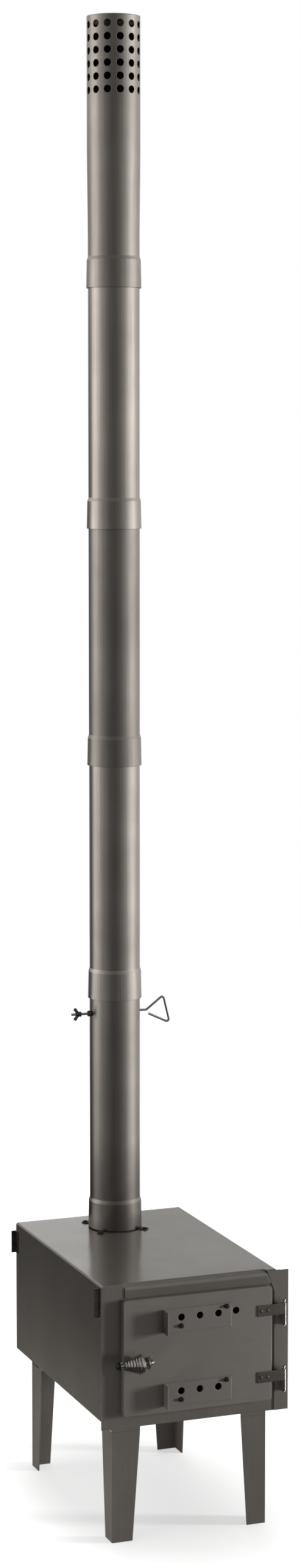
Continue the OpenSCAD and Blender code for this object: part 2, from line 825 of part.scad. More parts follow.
// Turn at point i of a path in the plane, in degrees, positive to the left
function turn_at(path, i) =
    let (a = path[i] - path[i - 1], b = path[i + 1] - path[i])
    atan2(a.x * b.y - a.y * b.x, a * b);

// Length that a round corner takes off each of its two straights
function corner_cut(path, i, r) = r * tan(abs(turn_at(path, i)) / 2);

// How far a rod's straights reach into its bends, and how much the bends swell round them
bend_reach = 0.5;
bend_swell = 0.05;

// A round rod bent through the points of a path in the XY plane
module bent_rod(path, r, corner_r) {
    last = len(path) - 1;
    for (i = [0:last - 1]) {
        run = path[i + 1] - path[i];
        way = run / norm(run);
        cut_0 = i == 0 ? 0 : corner_cut(path, i, corner_r);
        cut_1 = i == last - 1 ? 0 : corner_cut(path, i + 1, corner_r);
        into_0 = i == 0 ? 0 : bend_reach;
        into_1 = i == last - 1 ? 0 : bend_reach;
        from = path[i] + way * (cut_0 - into_0);
        translate([from.x, from.y, 0]) rotate([0, 0, atan2(way.y, way.x)]) rotate([0, 90, 0])
            cylinder(r = r, h = norm(run) - cut_0 - cut_1 + into_0 + into_1);
    }
    for (i = [1:last - 1]) {
        way = (path[i] - path[i - 1]) / norm(path[i] - path[i - 1]);
        turn = turn_at(path, i);
        left = [-way.y, way.x] * sign(turn);
        centre = path[i] - way * corner_cut(path, i, corner_r) + left * corner_r;
        heading = atan2(way.y, way.x);
        translate([centre.x, centre.y, 0])
            rotate([0, 0, turn > 0 ? heading - 90 : heading + 90 + turn])
                rotate_extrude(angle = abs(turn)) translate([corner_r, 0]) circle(r + bend_swell);
    }
}

// Moves a latch piece drawn about the pivot axis to its place
module at_latch() {
    translate([latch_px, 0, latch_pz]) children();
}

// Rod that turns in the door: a shaft along Y, a bend and an arm along -X
module latch_rod() {
    color(plated_colour) placed() at_latch()
        bent_rod([[0, tongue_y + tongue_t + latch_nut_h + 1.5], [0, latch_y], [-latch_arm + tip_nut_h - 2, latch_y]],
                 latch_rod_d / 2, latch_bend_r);
}

// Grip: one length of wire curled round the arm, wide near the pivot and narrow at the tip
module latch_coil_grip() {
    rings = len(coil_path);
    points = [for (i = [0:rings - 1]) each coil_ring(i)];
    sides = [for (i = [0:rings - 2], k = [0:coil_sides - 1])
        let (a = i * coil_sides + k, b = i * coil_sides + (k + 1) % coil_sides)
        each [[a, b, a + coil_sides], [b, b + coil_sides, a + coil_sides]]];
    caps = [for (k = [1:coil_sides - 2])
        let (end = (rings - 1) * coil_sides)
        each [[0, k + 1, k], [end, end + k, end + k + 1]]];
    color(plated_colour) placed() at_latch() translate([-coil_x0, latch_y, 0])
        polyhedron(points, concat(sides, caps));
}

// Washer on the arm that the grip's wide end bears on
module latch_grip_washer() {
    washer_r = coil_end_r + coil_wire;
    color(plated_colour) placed() at_latch() difference() {
        rod_x(latch_y, 0, -coil_x0, -coil_x0 + grip_washer_t, washer_r);
        rod_x(latch_y, 0, -coil_x0 - 1, -coil_x0 + grip_washer_t + 1, latch_rod_d / 2 + run_fit);
    }
}

// Domed nut on the arm's tip that holds the grip on
module latch_tip_nut() {
    tip_x = -coil_x0 - coil_l;
    flange_r = coil_small_r + coil_wire / 2 + 0.4;
    color(plated_colour) placed() at_latch() difference() {
        union() {
            rod_x(latch_y, 0, tip_x - 1.2, tip_x, flange_r);
            hex_x(latch_y, 0, tip_x - tip_nut_h + 1.5, tip_x - 1.2, 10);
            translate([tip_x - tip_nut_h + 1.5, latch_y, 0]) rotate([0, -90, 0])
                cylinder(r1 = 4.6, r2 = 3, h = 1.5);
        }
        rod_x(latch_y, 0, -latch_arm + tip_nut_h - 2, tip_x + 1, latch_rod_d / 2 + run_fit);
    }
}

// Washer and nut on the shaft, outside the door
module latch_washer() {
    color(plated_colour) placed() at_latch() difference() {
        rod_y(0, 0, door_y - slide_gap - washer_t, door_y - slide_gap, latch_rod_d);
        rod_y(0, 0, door_y - 3, door_y + 1, latch_rod_d / 2 + run_fit);
    }
}

module latch_nut() {
    nut_y = door_y - slide_gap - washer_t;
    color(plated_colour) placed() at_latch() difference() {
        hex_y(0, 0, nut_y - 5, nut_y, 10);
        rod_y(0, 0, nut_y - 6, nut_y + 1, latch_rod_d / 2 + run_fit);
    }
}

// Flat tongue on the shaft's inner end, which turns behind the front panel's left stile
module latch_tongue() {
    color(dark_colour) placed() at_latch() rotate([0, tongue_rest, 0]) difference() {
        upright(tongue_y, tongue_t) {
            circle(9);
            translate([-tongue_l + tongue_w / 2, -tongue_w / 2]) square([tongue_l - tongue_w / 2, tongue_w]);
            translate([-tongue_l + tongue_w / 2, 0]) circle(tongue_w / 2);
        }
        rod_y(0, 0, tongue_y - 1, tongue_y + tongue_t + 1, latch_rod_d / 2 + run_fit);
    }
}

module tongue_nut() {
    nut_y = tongue_y + tongue_t;
    color(plated_colour) placed() at_latch() difference() {
        hex_y(0, 0, nut_y, nut_y + latch_nut_h, 10);
        rod_y(0, 0, nut_y - 1, nut_y + latch_nut_h + 1, latch_rod_d / 2 + run_fit);
    }
}

// Half profile of a flue section: flared slip end, short cone and pipe
module flue_profile(length, extra) {
    neck_z = flue_lap - cone_h * (neck_r - flue_t - flue_r - 1.1 * seat_gap) / (neck_r - flue_r);
    wide_z = length - 227;
    taper_z = neck_z + cone_h + 40;
    e = extra / 2;
    polygon([[mouth_r - flue_t, 0], [mouth_r, 0], [neck_r, neck_z], [flue_r, neck_z + cone_h],
             [flue_r, taper_z], [flue_r + e, wide_z], [flue_r + e, length],
             [flue_r + e - flue_t, length], [flue_r + e - flue_t, wide_z],
             [flue_r - flue_t, taper_z], [flue_r - flue_t, neck_z + cone_h], [neck_r - flue_t, neck_z]]);
}

// Flue section by its number from the stove up
module flue_tube(number, length = section_l, extra = 0) {
    translate([0, flue_cy, seat_z + (number - 1) * lift_z])
        rotate_extrude() flue_profile(length, extra);
}

// Lowest section, drilled for the damper rod
module flue_section_1() {
    color(pipe_colour) placed() difference() {
        flue_tube(1);
        rod_x(flue_cy, damper_z, -mouth_r - 2, mouth_r + 2, rod_r + run_fit);
    }
}

module flue_section_2() {
    color(pipe_colour) placed() flue_tube(2);
}

module flue_section_3() {
    color(pipe_colour) placed() flue_tube(3);
}

module flue_section_4() {
    color(pipe_colour) placed() flue_tube(4);
}

// Top section: the rows of holes make it the spark arrestor
module flue_section_5() {
    color(pipe_colour) placed() difference() {
        flue_tube(flue_n, arrestor_l, arrestor_extra);
        for (row = [0:arrestor_rows - 1], i = [0:arrestor_holes - 1])
            translate([0, flue_cy, rim_z - arrestor_first - row * arrestor_pitch])
                rotate([0, 0, arrestor_turn + 360 * i / arrestor_holes])
                    rotate([0, 90, 0]) translate([0, 0, flue_r - 5])
                        cylinder(r = arrestor_hole_d / 2, h = 12);
    }
}

// Cap pressed into the rim of the top section
module arrestor_cap() {
    cap_r = flue_r + arrestor_extra / 2;
    skirt_r = cap_r - flue_t - run_fit;
    color(pipe_colour) placed() translate([0, flue_cy, rim_z]) difference() {
        union() {
            cylinder(r = cap_r, h = 1);
            translate([0, 0, -8]) cylinder(r = skirt_r, h = 8 + eps);
        }
        translate([0, 0, -9]) cylinder(r = skirt_r - flue_t, h = 9);
    }
}

// Round damper plate, upright and open, just behind the rod
module damper_plate() {
    color(dark_colour) placed()
        rod_y(0, damper_z, flue_cy + rod_r, flue_cy + rod_r + damper_t, damper_r);
}

// Two saddle clips that hold the plate to the rod
module damper_clips() {
    clip_w = 8;
    clip_t = 1.2;
    color(dark_colour) placed()
        for (x = [-22, 22]) translate([x - clip_w / 2, flue_cy, damper_z])
            rotate([90, 0, 90]) linear_extrude(clip_w) difference() {
                union() {
                    circle(rod_r + clip_t);
                    translate([0, -rod_r - clip_t]) square([rod_r, 2 * (rod_r + clip_t)]);
                    translate([rod_r - clip_t, -rod_r - 6]) square([clip_t, 2 * rod_r + 12]);
                }
                circle(rod_r + run_fit);
                translate([rod_r, -20]) square(40);
            }
}

// Damper rod: through the pipe and bent into a triangular finger loop on the right
module damper_rod() {
    color(plated_colour) placed() translate([0, flue_cy, damper_z]) rotate([90, 0, 0])
        bent_rod([[-flue_r - 36, 0], [flue_r + 15, 0], [flue_r + 46.7, 24], [flue_r + 59, -26],
                  [flue_r + 19, -7]], rod_r, 4);
}

// Hexagonal nut by the pipe's wall
module damper_nut() {
    nut_x = -flue_r - 1;
    color(plated_colour) placed() difference() {
        hex_x(flue_cy, damper_z, nut_x - 5, nut_x, damper_rod_d + 5);
        rod_x(flue_cy, damper_z, nut_x - 6, nut_x + 1, rod_r + run_fit);
    }
}

// Wing nut near the rod's left end
module damper_wing_nut() {
    nut_x = -flue_r - 19;
    nut_l = 13;
    wing_t = 2.4;
    color(plated_colour) placed() difference() {
        union() {
            translate([nut_x, flue_cy, damper_z]) rotate([0, -90, 0])
                cylinder(r1 = 4.6, r2 = 3.6, h = nut_l - 4);
            upright(flue_cy - wing_t / 2, wing_t)
                for (side = [-1, 1]) translate([nut_x, damper_z]) {
                    polygon([[-1, side * 1], [-8, side * 1], [-nut_l, side * 8], [-nut_l + 6, side * 8]]);
                    translate([-nut_l + 3, side * 8]) circle(3);
                }
        }
        rod_x(flue_cy, damper_z, nut_x - nut_l - 1, nut_x + 1, rod_r + run_fit);
    }
}

body_shell();
floor_panel();
back_panel();
front_panel();
hinge_plate();
side_ears();
hinge_lugs();
hinge_pins();
flue_collar();
collar_screws();
leg_bracket_front_left();
leg_bracket_front_right();
leg_bracket_rear_left();
leg_bracket_rear_right();
leg_bolts();
leg_nuts();
leg_front_left();
leg_front_right();
leg_rear_left();
leg_rear_right();
door();
hinge_straps();
strap_rivets();
vent_screws();
vent_nuts();
vent_slide_upper();
vent_slide_lower();
latch_rod();
latch_coil_grip();
latch_grip_washer();
latch_tip_nut();
latch_washer();
latch_nut();
latch_tongue();
tongue_nut();
flue_section_1();
flue_section_2();
flue_section_3();
flue_section_4();
flue_section_5();
arrestor_cap();
damper_plate();
damper_clips();
damper_rod();
damper_nut();
damper_wing_nut();
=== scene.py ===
"""Tent wood stove: the finishes of its steel, the wound latch grip, the flue's welds, the damper rod's
thread, and a plain studio to see it in."""

import math
from types import SimpleNamespace

import bmesh
import bpy
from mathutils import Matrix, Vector
from mathutils.bvhtree import BVHTree


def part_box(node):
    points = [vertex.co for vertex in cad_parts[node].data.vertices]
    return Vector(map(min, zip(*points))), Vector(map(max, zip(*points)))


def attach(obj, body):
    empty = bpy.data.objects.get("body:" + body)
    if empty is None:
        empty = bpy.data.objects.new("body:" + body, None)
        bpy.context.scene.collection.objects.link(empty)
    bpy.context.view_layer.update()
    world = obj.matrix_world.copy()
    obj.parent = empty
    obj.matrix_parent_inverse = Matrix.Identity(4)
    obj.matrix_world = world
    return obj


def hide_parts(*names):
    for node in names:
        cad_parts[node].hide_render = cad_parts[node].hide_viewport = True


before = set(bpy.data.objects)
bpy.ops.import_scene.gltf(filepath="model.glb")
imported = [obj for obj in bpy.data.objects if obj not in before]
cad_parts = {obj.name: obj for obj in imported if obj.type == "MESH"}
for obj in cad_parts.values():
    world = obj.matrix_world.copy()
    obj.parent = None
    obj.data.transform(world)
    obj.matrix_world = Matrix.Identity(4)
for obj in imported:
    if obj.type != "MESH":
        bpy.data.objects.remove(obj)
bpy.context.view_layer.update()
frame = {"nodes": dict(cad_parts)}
NODES = frame["nodes"]

bl_info = {
    "name": "Tent Wood Stove",
    "version": (1, 0, 0),
    "blender": (4, 5, 0),
    "location": "View3D > Sidebar > Stove",
    "description": "Steel finishes, wound latch grip, flue welds and studio for a tent wood stove",
    "category": "Object",
}

MM = 0.001


def middle_of(node):
    """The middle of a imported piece."""
    low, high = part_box(node)
    return (low + high) / 2


# Middle of the flue, and of the latch rod where it carries the grip
FLUE_X, FLUE_Y, _ = middle_of("flue_section_2")
GRIP_FOOT = middle_of("latch_grip_washer")
GRIP_FOOT.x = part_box("latch_grip_washer")[0].x
GRIP_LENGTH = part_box("latch_coil_grip")[1].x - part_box("latch_coil_grip")[0].x

# Each flue section comes from its own sheet: its number, how much rougher it is, and its lightness as a share.
# The third's lower lightness is painted shade that dims what it mirrors
PIPES = ((1, 0.01, 1.0), (2, 0.0, 1.02), (3, 0.09, 0.85), (4, 0.0, 1.03), (5, 0.05, 0.93))
# Painted shade darkens the lowest one towards its foot: fully up to this height in m, not at all from this
# one, and how much of its colour is left at the lower one
SCORCH = (0.46, 0.62, 0.55)
# Where each section's seam weld stands round the flue, in degrees from +X. The fifth lies between two
# columns of the arrestor's holes
SEAM_BEARINGS = {1: 74, 2: 112, 3: 92, 4: 64, 5: 112.1}
# The sheet's heat tint beside the weld: its width in weld widths, its colour and how much it hides. Straw
# furthest out, blue further in, and the weld's own grey
HEAT_TINTS = ((5.0, "#8f7a52", 0.55), (2.6, "#4c5266", 0.7), (1.0, "#77726b", 0.9))
# The bead's section from one toe to the other, in degrees round its crown and mm sunk into the wall
BEAD_ARCH = ((-90, 0.35), (-54, 0), (-18, 0), (18, 0), (54, 0), (90, 0.35))
BEAD_TROUGH = 0.66  # the bead's height between two ripples, as a share of its full height
BEAD_PINCH = 0.15  # how much of its width follows the ripples
BEAD_START = 1 * MM  # above the foot of its section
BEAD_GROUND = 14 * MM  # it is ground flush where the next section slips over
BEAD_END = 2 * MM  # below the top of the last section
OUTSIDE_PIPE = 80 * MM  # from the flue's middle to where the search for its wall starts

# The damper rod's rolled thread
THREAD_START = 0.6 * MM  # from the rod's end
THREAD_STOP = 44.7 * MM  # from the flue's middle: just outside the pipe
CREST_FROM_AXIS = 2.0 * MM  # from the rod's middle to the middle of the round crest
CREST_RADIUS = 0.24 * MM
CREST_SIDES, CREST_STEPS = 5, 12  # round the crest, and along it in each turn

# Points along the grip's wire: in each straight end, in each bend and in each curl
STRAIGHT_STEPS, BEND_STEPS, CURL_STEPS = 3, 8, 44
# How far a wire's closing dome stands out, as a share of its radius, and the rings that shape it, in degrees
DOME_RISE = 0.6
DOME_RINGS = (72, 50, 26)

# Small turned and drawn pieces: crisper edges and a finer surface than sheet steel
SMALL = {"edge_mm": 0.3, "relief_mm": 0.01}

# What all the steels share
TOOTH_MM = 1.6  # the tooth of a pickled surface, drawn as coarse as it needs to show
HAND_MM = 130  # a hand's width: the length of the waves in a wide panel
RUBBED = 1.6  # the lightness of an edge, worn and with a painted highlight, as a share of its face's
EDGE_TURN = (0.995, 0.86)  # the cosines of a corner's turn at which its wear and painted highlight start and are full
DULLER, SMOOTHER = 0.025, 0.02  # how far clouds and lines take the roughness up and down


def linear(hex_colour):
    """An sRGB hex value as linear red, green and blue."""
    parts = [int(hex_colour[i : i + 2], 16) / 255 for i in (1, 3, 5)]
    return tuple(c / 12.92 if c <= 0.04045 else ((c + 0.055) / 1.055) ** 2.4 for c in parts)


def rgba(colour, share=1.0):
    """A colour with its alpha, scaled to a share of its brightness."""
    return (*(min(1.0, c * share) for c in colour[:3]), 1.0)


def sized(mm):
    """Noise scale, in cells per metre, for a pattern that repeats every mm millimetres."""
    return 1.0 / (mm * MM)


def blank(block):
    """The node tree of a new material or world, emptied."""
    block.use_nodes = True
    block.node_tree.nodes.clear()
    return block.node_tree


def add(tree, kind, feeds=None, **settings):
    """Adds a node. feeds sets its inputs to values or links them to other nodes' outputs."""
    node = tree.nodes.new(kind)
    for key, value in settings.items():
        setattr(node, key, value)
    for key, value in (feeds or {}).items():
        if isinstance(value, bpy.types.NodeSocket):
            tree.links.new(value, node.inputs[key])
        else:
            node.inputs[key].default_value = value
    return node


def cut_thread(finish, pitch):
    """A rolled thread along X: one crest for each pitch, and painted shade in the roots."""
    tree = finish.tree
    spot = add(tree, "ShaderNodeSeparateXYZ", {0: finish.place}).outputs["X"]
    crest = add(tree, "ShaderNodeMath", {0: spot, 1: pitch / 2}, operation="PINGPONG").outputs[0]
    finish.normal = add(tree, "ShaderNodeBump", {
        "Strength": 0.6, "Distance": 1.0, "Height": crest, "Normal": finish.normal}).outputs[0]
    # painted shade: darker towards the thread's roots
    root = add(tree, "ShaderNodeMapRange", {
        "Value": crest, "From Min": 0.0, "From Max": pitch / 4, "To Min": 0.55, "To Max": 1.0}).outputs[0]
    finish.colour = add(tree, "ShaderNodeMix", {
        "Factor": root, "A": rgba(finish.tone, 0.3), "B": finish.colour}, data_type="RGBA").outputs["Result"]


def tint_seam(finish, from_axis, bearing, width):
    """The colours that the seam weld's heat has left in the sheet on both sides of it."""
    tree = finish.tree
    out = (math.cos(bearing), math.sin(bearing), 0.0)
    beside = add(tree, "ShaderNodeVectorMath", {0: from_axis, 1: (-out[1], out[0], 0.0)},
                 operation="DOT_PRODUCT").outputs["Value"]
    near = add(tree, "ShaderNodeMath", {0: beside}, operation="ABSOLUTE").outputs[0]
    before = add(tree, "ShaderNodeVectorMath", {0: from_axis, 1: out}, operation="DOT_PRODUCT").outputs["Value"]
    facing = add(tree, "ShaderNodeMath", {0: before, 1: 0.0}, operation="GREATER_THAN").outputs[0]
    for widths, hue, share in HEAT_TINTS:
        reach = width * widths / 2
        heat = add(tree, "ShaderNodeMapRange", {
            "Value": near, "From Min": reach / 2, "From Max": reach, "To Min": share, "To Max": 0.0,
        }, interpolation_type="SMOOTHSTEP").outputs[0]
        heat = add(tree, "ShaderNodeMath", {0: heat, 1: facing}, operation="MULTIPLY").outputs[0]
        finish.colour = add(tree, "ShaderNodeMix", {
            "Factor": heat, "A": finish.colour, "B": rgba(linear(hue))}, data_type="RGBA").outputs["Result"]


def soot_inside(finish, from_axis):
    """Smoke has blackened and dulled the faces that look towards the middle of the pipe."""
    tree = finish.tree
    level = add(tree, "ShaderNodeVectorMath", {0: from_axis, 1: (1.0, 1.0, 0.0)}, operation="MULTIPLY").outputs[0]
    outward = add(tree, "ShaderNodeVectorMath", {0: level}, operation="NORMALIZE").outputs[0]
    inward = add(tree, "ShaderNodeVectorMath", {0: outward, 1: finish.flat},
                 operation="DOT_PRODUCT").outputs["Value"]
    soot = add(tree, "ShaderNodeMapRange", {
        "Value": inward, "From Min": -0.5, "From Max": -0.2, "To Min": 1.0, "To Max": 0.0}).outputs[0]
    finish.colour = add(tree, "ShaderNodeMix", {
        "Factor": soot, "A": finish.colour, "B": rgba(linear("#1d1b19"))}, data_type="RGBA").outputs["Result"]
    finish.gloss = add(tree, "ShaderNodeMath", {0: finish.gloss, 1: soot}, operation="MAXIMUM").outputs[0]


def scorch_foot(finish, low, high, left):
    """Paints shade on a pipe, darker up to a height. The dark's upper edge wanders with the clouds."""
    tree, wander = finish.tree, 0.06
    rise = add(tree, "ShaderNodeSeparateXYZ", {0: finish.place}).outputs["Z"]
    rise = add(tree, "ShaderNodeMath", {0: finish.clouds, 1: wander, 2: rise}, operation="MULTIPLY_ADD").outputs[0]
    kept = add(tree, "ShaderNodeMapRange", {
        "Value": rise, "From Min": low + wander / 2, "From Max": high + wander / 2, "To Min": left, "To Max": 1.0,
    }, interpolation_type="SMOOTHSTEP").outputs[0]
    finish.colour = add(tree, "ShaderNodeMix", {
        "Factor": kept, "A": (0.0, 0.0, 0.0, 1.0), "B": finish.colour}, data_type="RGBA").outputs["Result"]


def steel(name, tone, shade, roughness, grain, cloud_mm, metallic=1.0, edge=0.25, edge_mm=0.8, relief_mm=0.03,
          streak=1.0, sway_mm=0.0, thread=None, seam=None, scorch=None):
    """A steel material. grain is the size in mm of its lines along X, Y and Z: long along the rolling
    direction and short across it, and streak is how strongly they show. shade is the tone of its duller
    clouds, cloud_mm across. edge is how far its edges are brightened, partly by wear and partly by a painted
    highlight, edge_mm in from them. relief_mm is the depth of its lines and tooth, and sway_mm how far a wide
    panel is out of flat. thread is the pitch of a thread along X, whose roots get painted shade. seam is the
    bearing and the width of a pipe's weld, and the last argument says how far a pipe is painted darker towards
    its foot, as painted shade."""
    material = bpy.data.materials.new(name)
    tree = blank(material)
    place = add(tree, "ShaderNodeTexCoord").outputs["Object"]
    flat = add(tree, "ShaderNodeNewGeometry").outputs["Normal"]
    # rolling lines: finer than 0.3 mm on the real sheet, drawn as coarse as they need to show
    along = add(tree, "ShaderNodeVectorMath", {0: place, 1: tuple(sized(g) for g in grain)},
                operation="MULTIPLY").outputs[0]
    lines = add(tree, "ShaderNodeTexNoise", {
        "Vector": along, "Scale": 1.0, "Detail": 3.0, "Roughness": 0.6}).outputs["Fac"]
    # clouds left by rolling oil and handling
    clouds = add(tree, "ShaderNodeTexNoise", {
        "Vector": place, "Scale": sized(cloud_mm), "Detail": 4.0, "Roughness": 0.55}).outputs["Fac"]
    tooth = add(tree, "ShaderNodeTexNoise", {
        "Vector": place, "Scale": sized(TOOTH_MM), "Detail": 2.0}).outputs["Fac"]
    shown = add(tree, "ShaderNodeMath", {0: lines, 1: streak, 2: 0.5 - 0.5 * streak},
                operation="MULTIPLY_ADD").outputs[0]
    mixed = add(tree, "ShaderNodeMath", {0: shown, 1: clouds}, operation="ADD").outputs[0]
    dull = add(tree, "ShaderNodeMapRange", {"Value": mixed, "From Min": 0.6, "From Max": 1.4},
               interpolation_type="SMOOTHSTEP").outputs[0]
    colour = add(tree, "ShaderNodeMix", {"Factor": dull, "A": rgba(shade), "B": rgba(tone)},
                 data_type="RGBA").outputs["Result"]
    gloss = add(tree, "ShaderNodeMapRange", {
        "Value": mixed, "From Min": 0.7, "From Max": 1.3,
        "To Min": roughness + DULLER, "To Max": roughness - SMOOTHER}).outputs[0]
    # sheared edges are a little brighter than the faces: partly wear, partly a painted highlight where they catch
    # the light
    round_edge = add(tree, "ShaderNodeBevel", {"Radius": edge_mm * MM}, samples=4).outputs[0]
    turn = add(tree, "ShaderNodeVectorMath", {0: round_edge, 1: flat}, operation="DOT_PRODUCT").outputs["Value"]
    rubbed = add(tree, "ShaderNodeMapRange", {
        "Value": turn, "From Min": EDGE_TURN[0], "From Max": EDGE_TURN[1], "To Min": 0.0, "To Max": edge,
    }).outputs[0]
    colour = add(tree, "ShaderNodeMix", {"Factor": rubbed, "A": colour, "B": rgba(tone, RUBBED)},
                 data_type="RGBA").outputs["Result"]
    relief = add(tree, "ShaderNodeMath", {0: lines, 1: tooth}, operation="ADD").outputs[0]
    normal = round_edge
    if sway_mm:
        # thin sheet is never quite flat: shallow waves bend what it mirrors
        waves = add(tree, "ShaderNodeTexNoise", {
            "Vector": place, "Scale": sized(HAND_MM), "Detail": 0.0}).outputs["Fac"]
        normal = add(tree, "ShaderNodeBump", {
            "Strength": 1.0, "Distance": sway_mm * MM, "Height": waves, "Normal": normal}).outputs[0]
    normal = add(tree, "ShaderNodeBump", {
        "Strength": 0.2, "Distance": relief_mm * MM, "Height": relief, "Normal": normal}).outputs[0]

    finish = SimpleNamespace(tree=tree, place=place, flat=flat, clouds=clouds, tone=tone,
                             colour=colour, gloss=gloss, normal=normal)
    if thread:
        cut_thread(finish, thread)
    if seam:
        from_axis = add(tree, "ShaderNodeVectorMath", {0: place, 1: (-FLUE_X, -FLUE_Y, 0.0)},
                        operation="ADD").outputs[0]
        tint_seam(finish, from_axis, *seam)
        soot_inside(finish, from_axis)
    if scorch:
        scorch_foot(finish, *scorch)
    surface = add(tree, "ShaderNodeBsdfPrincipled", {
        "Base Color": finish.colour, "Metallic": metallic, "Roughness": finish.gloss, "Normal": finish.normal})
    add(tree, "ShaderNodeOutputMaterial", {"Surface": surface.outputs[0]})
    return material


def cover(material, *names):
    """Gives CAD pieces their material."""
    for name in names:
        mesh = NODES[name].data
        mesh.materials.clear()
        mesh.materials.append(material)
        for face in mesh.polygons:
            face.material_index = 0


def skin(name, loops):
    """A closed piece through loops of points, all with the same number of points, capped at both ends."""
    work = bmesh.new()
    rows = [[work.verts.new(point) for point in loop] for loop in loops]
    sides = len(rows[0])
    for one, two in zip(rows, rows[1:]):
        for k in range(sides):
            work.faces.new((one[k], one[(k + 1) % sides], two[(k + 1) % sides], two[k]))
    work.faces.new(list(reversed(rows[0])))
    work.faces.new(rows[-1])
    bmesh.ops.recalc_face_normals(work, faces=work.faces)
    for face in work.faces:
        face.smooth = True
    mesh = bpy.data.meshes.new(name)
    work.to_mesh(mesh)
    work.free()
    piece = bpy.data.objects.new(name, mesh)
    bpy.context.scene.collection.objects.link(piece)
    return piece


def tube(name, points, radius, sides=14):
    """A round wire swept along points, its ends closed with low domes."""
    points = [Vector(p) for p in points]
    last = len(points) - 1
    heading = [(points[min(i + 1, last)] - points[max(i - 1, 0)]).normalized() for i in range(last + 1)]
    across = [heading[0].orthogonal().normalized()]
    for before, way in zip(heading, heading[1:]):
        side = (before.rotation_difference(way) @ across[-1]).normalized()
        across.append((side - way * side.dot(way)).normalized())
    domes = [(radius * DOME_RISE * math.sin(a), radius * math.cos(a)) for a in map(math.radians, DOME_RINGS)]
    rings = [(points[0] - heading[0] * rise, 0, size) for rise, size in domes]
    rings += [(point, i, radius) for i, point in enumerate(points)]
    rings += [(points[last] + heading[last] * rise, last, size) for rise, size in reversed(domes)]
    turns = [2 * math.pi * k / sides for k in range(sides)]
    loops = []
    for middle, i, size in rings:
        other = heading[i].cross(across[i])
        loops.append([middle + across[i] * size * math.cos(a) + other * size * math.sin(a) for a in turns])
    return skin(name, loops)


def tone_prop(hex_colour, name):
    """A colour that a user may change."""
    return bpy.props.FloatVectorProperty(name=name, description=f"{name}, linear", default=linear(hex_colour),
                                         size=3, min=0, max=1, subtype="COLOR")


def share_prop(default, least, most, name, description):
    """A share of one, such as a roughness, that a user may change."""
    return bpy.props.FloatProperty(name=name, description=description, default=default, min=least, max=most,
                                   subtype="FACTOR")


def length_prop(mm, least, most, name, description):
    """A length in mm that a user may change."""
    return bpy.props.FloatProperty(name=name, description=description, default=mm * MM, min=least * MM,
                                   max=most * MM, subtype="DISTANCE", unit="LENGTH")


def power_prop(default, name, description):
    """A lamp's power that a user may change."""
    return bpy.props.FloatProperty(name=name, description=description, default=default, min=0, unit="POWER")


class StoveBodyFinish(bpy.types.PropertyGroup):
    tone: tone_prop("#77726c", "Sheet colour")
    shade: tone_prop("#6a655f", "Clouded sheet colour")
    # the door's colour is the sheet's made lighter, as painted light; the front panel's and legs' is made darker,
    # as painted shade
    door: tone_prop("#7f7973", "Door colour")
    frame: tone_prop("#736e68", "Front panel and leg colour")
    metallic: share_prop(0.6, 0, 1, "Metallic", "How much of the sheet's sheen is bare metal")
    roughness: share_prop(0.19, 0.05, 1, "Roughness", "Roughness of the body's sheet")


class StoveFlueFinish(bpy.types.PropertyGroup):
    tone: tone_prop("#aaa39c", "Pipe colour")
    shade: tone_prop("#98918a", "Clouded pipe colour")
    roughness: share_prop(0.29, 0.05, 1, "Roughness", "Roughness of the pipe")
    weld: length_prop(2.6, 0.5, 10, "Weld width", "Width of the seam weld down each section")
    proud: length_prop(0.55, 0.1, 2, "Weld height", "How far the weld's bead stands out of the pipe")
    ripple: length_prop(1.6, 0.5, 5, "Weld ripple", "Length of one ripple of the weld")


class StoveIronwork(bpy.types.PropertyGroup):
    strip: tone_prop("#8e8982", "Hinge colour")
    strip_shade: tone_prop("#77726c", "Clouded hinge colour")
    tone: tone_prop("#746f69", "Ear, rivet and damper nut colour")
    shade: tone_prop("#57534e", "Clouded ear, rivet and damper nut colour")
    roughness: share_prop(0.31, 0.05, 1, "Roughness", "Roughness of the straps, lugs, ears and rivets")


class StovePlating(bpy.types.PropertyGroup):
    tone: tone_prop("#c9c5be", "Plating colour")
    shade: tone_prop("#a39f98", "Dulled plating colour")
    roughness: share_prop(0.22, 0.05, 1, "Roughness", "Roughness of the plated hardware")
    # the dark of the blackened screws, and painted shade on the latch's tip nut
    blackened: tone_prop("#3c3a37", "Blackened screw colour")
    pitch: length_prop(0.7, 0.4, 2, "Thread pitch", "Pitch of the damper rod's thread")


class StoveGrip(bpy.types.PropertyGroup):
    wire: length_prop(3.5, 1, 6, "Wire", "Diameter of the grip's wire")
    foot: length_prop(6.6, 3, 20, "Foot", "Radius of the straight end against the washer")
    wide: length_prop(15.2, 5, 30, "Widest curl", "Radius of the widest curl")
    narrow: length_prop(5.2, 3, 20, "Narrow end", "Radius of the narrow end")
    opening: share_prop(0.15, 0.01, 0.9, "Opening", "Share of the curls in which the grip opens to its widest")
    straight: length_prop(3.4, 0, 20, "Straight ends", "Length of the straight wire at each end")
    bend: length_prop(3, 0, 20, "Bends", "Radius of the bend from each straight end into the curls")
    curls: bpy.props.IntProperty(name="Curls", description="Number of curls", default=8, min=2, max=20)


